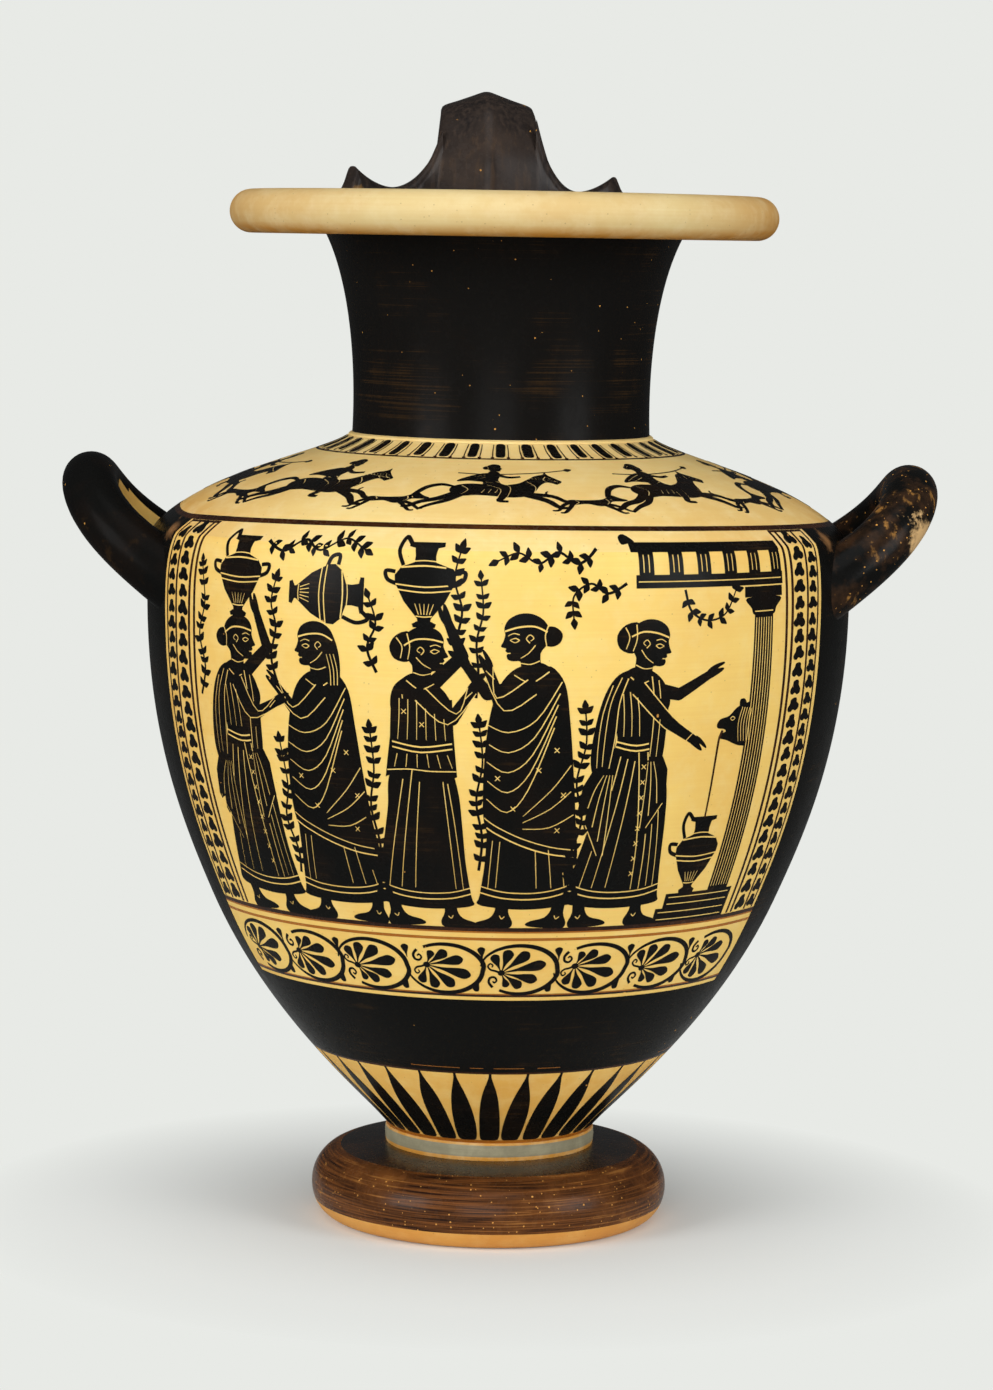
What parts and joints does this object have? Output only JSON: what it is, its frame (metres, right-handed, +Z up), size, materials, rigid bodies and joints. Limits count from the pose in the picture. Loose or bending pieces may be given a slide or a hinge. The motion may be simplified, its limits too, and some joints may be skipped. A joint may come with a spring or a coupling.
{
  "type": "hydria jar",
  "caption": "Water jar with a round foot, egg-shaped body, sloping shoulder, flaring neck, broad disc mouth, two side loops and a tall back strap handle.",
  "frame": {"origin": "on the jar's axis, at the level of the ring that the foot stands on", "axes": "+Z up along the axis of the wheel; -Y towards the painted front; +Y towards the back handle; the side handles lie along X"},
  "size_m": [0.3832, 0.3103, 0.5],
  "materials": {
    "black_gloss": "thin black slip fired to a soft gloss, with fine scratches and pits",
    "rubbed_gloss": "brown-black slip, streaky and rubbed, with clay showing in specks",
    "clay": "polished golden-orange clay with a low sheen",
    "pale_clay": "pale golden clay, smooth, with faint turning marks",
    "grey_wash": "thin grey-green slip with worn clay edges"
  },
  "bodies": {
    "root": {"foot": "rubbed_gloss", "foot_fillet": "grey_wash", "belly": "clay", "shoulder": "clay", "neck_collar": "pale_clay", "neck": "black_gloss", "mouth": "pale_clay", "handle_left": "black_gloss", "handle_right": "black_gloss", "handle_back": "rubbed_gloss", "rim_arm_left": "rubbed_gloss", "rim_arm_right": "rubbed_gloss"}
  },
  "joints": []
}
